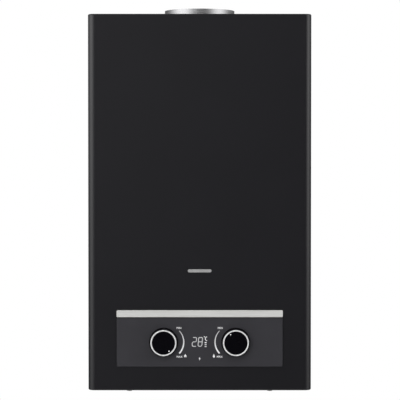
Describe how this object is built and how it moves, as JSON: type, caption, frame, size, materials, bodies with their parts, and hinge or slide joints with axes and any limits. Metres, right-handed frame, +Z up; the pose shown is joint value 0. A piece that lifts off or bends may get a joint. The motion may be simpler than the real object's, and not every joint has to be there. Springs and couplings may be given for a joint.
{
  "type": "gas water heater",
  "caption": "Wall-hung instantaneous gas water heater with a black steel casing, round flue collar, viewing slit, silver trim strip and two control knobs on a dark grey panel.",
  "frame": {"origin": "On the wall plane, midway between the two wall-hook holes.", "axes": "+X to the user's right, +Y into the wall, +Z up; the front faces -Y."},
  "size_m": [0.33, 0.1847, 0.5685],
  "materials": {
    "coated_steel": "satin",
    "galvanised_steel": "dull",
    "screw_steel": "zinc plated",
    "collar_steel": "bright",
    "mica": "frosted",
    "carrier_plastic": "matte",
    "panel_grey": "satin",
    "strip_silver": "brushed",
    "display_housing": "matte",
    "circuit_board": "lacquered",
    "knob_black": "gloss",
    "knob_silver": "satin chrome",
    "valve_brass": "machined",
    "cast_aluminium": "cast",
    "seal_rubber": "matte",
    "coil_housing": "moulded",
    "switch_metal": "bright",
    "strainer_plastic": "moulded",
    "stainless_burner": "pressed",
    "steel_rail": "zinc plated",
    "tinned_copper": "tinned",
    "electrode_ceramic": "glazed",
    "electrode_wire": "heat resistant",
    "thermostat_body": "plain",
    "cell_jacket": "lacquered",
    "lead_insulation": "matte",
    "print_white": "screen printed"
  },
  "bodies": {
    "heater": {"front_cover": "coated_steel", "back_plate": "galvanised_steel", "battery_box": "carrier_plastic", "battery_cells": "cell_jacket", "battery_contacts": "switch_metal", "bottom_plate": "galvanised_steel", "burner_blades": "stainless_burner", "burner_frame": "galvanised_steel", "chamber_coil": "tinned_copper", "cold_inlet": "valve_brass", "cold_riser": "tinned_copper", "combustion_chamber": "tinned_copper", "cover_screws": "screw_steel", "diaphragm": "seal_rubber", "diaphragm_cover": "valve_brass", "diaphragm_screws": "screw_steel", "display_board": "circuit_board", "display_unit": "display_housing", "draft_hood": "galvanised_steel", "electrode_insulators": "electrode_ceramic", "electrode_leads": "lead_insulation", "electrode_plate": "galvanised_steel", "electrode_rods": "electrode_wire", "exchanger_fins": "tinned_copper", "exchanger_tube": "tinned_copper", "flue_collar": "collar_steel", "gas_feed": "steel_rail", "gas_inlet": "valve_brass", "gas_manifold": "steel_rail", "gas_nozzles": "valve_brass", "gas_valve_body": "cast_aluminium", "hot_pipe": "tinned_copper", "ignition_module": "coil_housing", "inlet_strainer": "strainer_plastic", "microswitch": "coil_housing", "overheat_thermostat": "thermostat_body", "panel_carrier": "carrier_plastic", "panel_face": "panel_grey", "pipe_nuts": "valve_brass", "poppet_spring": "switch_metal", "solenoid": "coil_housing", "spill_thermostat": "thermostat_body", "spindle_glands": "valve_brass", "trim_strip": "strip_silver", "valve_bracket": "galvanised_steel", "viewing_window": "mica", "water_valve_body": "valve_brass", "window_frame": "galvanised_steel"},
    "flame_control": {"flame_knob": "knob_black", "flame_knob_ring": "knob_silver", "gas_spindle": "valve_brass"},
    "water_control": {"water_knob": "knob_black", "water_knob_ring": "knob_silver", "water_spindle": "valve_brass"},
    "valve_plunger": {"plunger": "valve_brass", "gas_poppet": "seal_rubber"},
    "switch_arm": {"switch_lever": "switch_metal"},
    "battery_lid": {"battery_door": "carrier_plastic", "door_contact": "switch_metal"},
    "drain": {"drain_plug": "valve_brass"}
  },
  "joints": [
    {"name": "flame_turn", "type": "hinge", "parent": "heater", "child": "flame_control", "pos_m": [-0.0532, -0.086, -0.4379], "axis": [0, -1, 0], "range_deg": [0, 114]},
    {"name": "water_turn", "type": "hinge", "parent": "heater", "child": "water_control", "pos_m": [0.0532, -0.086, -0.4379], "axis": [0, -1, 0], "range_deg": [0, 114]},
    {"name": "plunger_slide", "type": "slide", "parent": "heater", "child": "valve_plunger", "axis": [-1, 0, 0], "range_m": [0, 0.004], "stiffness_N_per_m": 1200, "springref_m": -0.002, "deforming": ["poppet_spring"]},
    {"name": "switch_swing", "type": "hinge", "parent": "heater", "child": "switch_arm", "pos_m": [-0.0112, -0.086, -0.4219], "axis": [0, 1, 0], "range_deg": [0, 25.46]},
    {"name": "battery_hinge", "type": "hinge", "parent": "heater", "child": "battery_lid", "pos_m": [0.1119, -0.105, -0.5081], "axis": [1, 0, 0], "range_deg": [0, 100]},
    {"name": "drain_turn", "type": "hinge", "parent": "heater", "child": "drain", "pos_m": [0.0302, -0.086, -0.49], "axis": [0, 0, 1], "range_deg": [0, 360]}
  ],
  "couplings": [
    {"joint": "switch_swing", "follows": "plunger_slide", "rad_per_m": 111.11}
  ]
}
